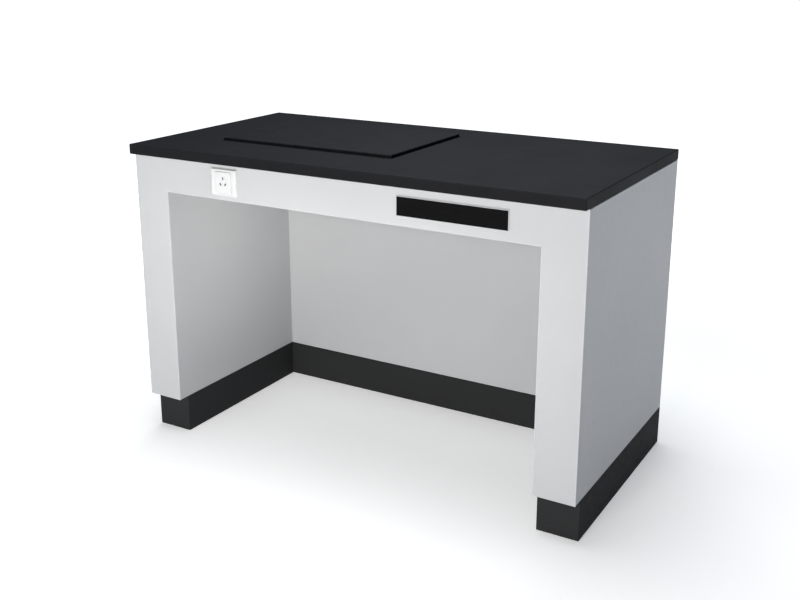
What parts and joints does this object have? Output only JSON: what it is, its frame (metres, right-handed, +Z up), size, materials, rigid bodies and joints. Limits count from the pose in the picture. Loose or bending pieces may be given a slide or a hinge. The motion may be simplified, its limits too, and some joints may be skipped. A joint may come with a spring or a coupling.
{
  "type": "balance table",
  "caption": "Steel laboratory table with a floating stone slab on rubber isolators set into a dark worktop, knee space, power socket, label plate and levelling feet inside a plinth.",
  "frame": {"origin": "centre of the bounding box at floor level", "axes": "+X to the right seen from the front, +Y to the back, +Z up"},
  "size_m": [1.2, 0.62, 0.783],
  "materials": {
    "casing_paint": "fine powder coat",
    "plinth_paint": "satin black",
    "frame_paint": "powder coat",
    "zinc": "zinc plated",
    "white_plastic": "gloss",
    "black_plastic": "matt",
    "black_label": "satin",
    "worktop_resin": "matt",
    "black_granite": "honed",
    "rubber": "matt",
    "brass": "plain"
  },
  "bodies": {
    "table": {"front_fascia": "casing_paint", "left_side_panel": "casing_paint", "right_side_panel": "casing_paint", "left_inner_panel": "casing_paint", "right_inner_panel": "casing_paint", "knee_back_panel": "casing_paint", "rear_panel": "casing_paint", "left_plinth": "plinth_paint", "right_plinth": "plinth_paint", "knee_plinth": "plinth_paint", "rear_plinth": "plinth_paint", "left_front_post": "frame_paint", "left_rear_post": "frame_paint", "right_front_post": "frame_paint", "right_rear_post": "frame_paint", "left_top_rail": "frame_paint", "right_top_rail": "frame_paint", "left_base_rail": "frame_paint", "right_base_rail": "frame_paint", "front_rail": "frame_paint", "rear_rail": "frame_paint", "rear_base_rail": "frame_paint", "left_isolator_beam": "frame_paint", "right_isolator_beam": "frame_paint", "panel_brackets": "zinc", "rear_panel_screws": "zinc", "isolator_bases": "zinc", "isolator_nuts": "zinc", "foot_nuts": "zinc", "socket_back_box": "zinc", "socket_frame": "white_plastic", "socket_insert": "white_plastic", "socket_base": "white_plastic", "worktop": "worktop_resin", "isolator_rubbers": "rubber", "cable_grommet": "rubber", "socket_contacts": "brass", "label_holder": "white_plastic", "label_insert": "black_label"},
    "carrier": {"slab_carrier": "frame_paint", "slab_pads": "rubber"},
    "slab": {"weighing_slab": "black_granite"},
    "foot_left_front": {"foot_pad_left_front": "black_plastic"},
    "stud_left_front": {"foot_stud_left_front": "zinc"},
    "foot_left_rear": {"foot_pad_left_rear": "black_plastic"},
    "stud_left_rear": {"foot_stud_left_rear": "zinc"},
    "foot_right_front": {"foot_pad_right_front": "black_plastic"},
    "stud_right_front": {"foot_stud_right_front": "zinc"},
    "foot_right_rear": {"foot_pad_right_rear": "black_plastic"},
    "stud_right_rear": {"foot_stud_right_rear": "zinc"}
  },
  "joints": [
    {"name": "carrier_float", "type": "slide", "parent": "table", "child": "carrier", "axis": [0, 0, 1], "range_m": [-0.004, 0.0024], "stiffness_N_per_m": 120000, "springref_m": 0.0024, "deforming": ["isolator_rubbers"]},
    {"name": "slab_lift", "type": "slide", "parent": "carrier", "child": "slab", "axis": [0, 0, 1], "range_m": [0, 0.06]},
    {"name": "foot_height_left_front", "type": "slide", "parent": "table", "child": "foot_left_front", "axis": [0, 0, 1], "range_m": [-0.018, 0.009]},
    {"name": "foot_turn_left_front", "type": "hinge", "parent": "foot_left_front", "child": "stud_left_front", "pos_m": [-0.55, -0.218, 0.04], "axis": [0, 0, 1], "range_deg": [-4320, 2160]},
    {"name": "foot_height_left_rear", "type": "slide", "parent": "table", "child": "foot_left_rear", "axis": [0, 0, 1], "range_m": [-0.018, 0.009]},
    {"name": "foot_turn_left_rear", "type": "hinge", "parent": "foot_left_rear", "child": "stud_left_rear", "pos_m": [-0.55, 0.26, 0.04], "axis": [0, 0, 1], "range_deg": [-4320, 2160]},
    {"name": "foot_height_right_front", "type": "slide", "parent": "table", "child": "foot_right_front", "axis": [0, 0, 1], "range_m": [-0.018, 0.009]},
    {"name": "foot_turn_right_front", "type": "hinge", "parent": "foot_right_front", "child": "stud_right_front", "pos_m": [0.55, -0.218, 0.04], "axis": [0, 0, 1], "range_deg": [-4320, 2160]},
    {"name": "foot_height_right_rear", "type": "slide", "parent": "table", "child": "foot_right_rear", "axis": [0, 0, 1], "range_m": [-0.018, 0.009]},
    {"name": "foot_turn_right_rear", "type": "hinge", "parent": "foot_right_rear", "child": "stud_right_rear", "pos_m": [0.55, 0.26, 0.04], "axis": [0, 0, 1], "range_deg": [-4320, 2160]}
  ],
  "couplings": [
    {"joint": "foot_turn_left_front", "follows": "foot_height_left_front", "rad_per_m": 4188.8},
    {"joint": "foot_turn_left_rear", "follows": "foot_height_left_rear", "rad_per_m": 4188.8},
    {"joint": "foot_turn_right_front", "follows": "foot_height_right_front", "rad_per_m": 4188.8},
    {"joint": "foot_turn_right_rear", "follows": "foot_height_right_rear", "rad_per_m": 4188.8}
  ]
}
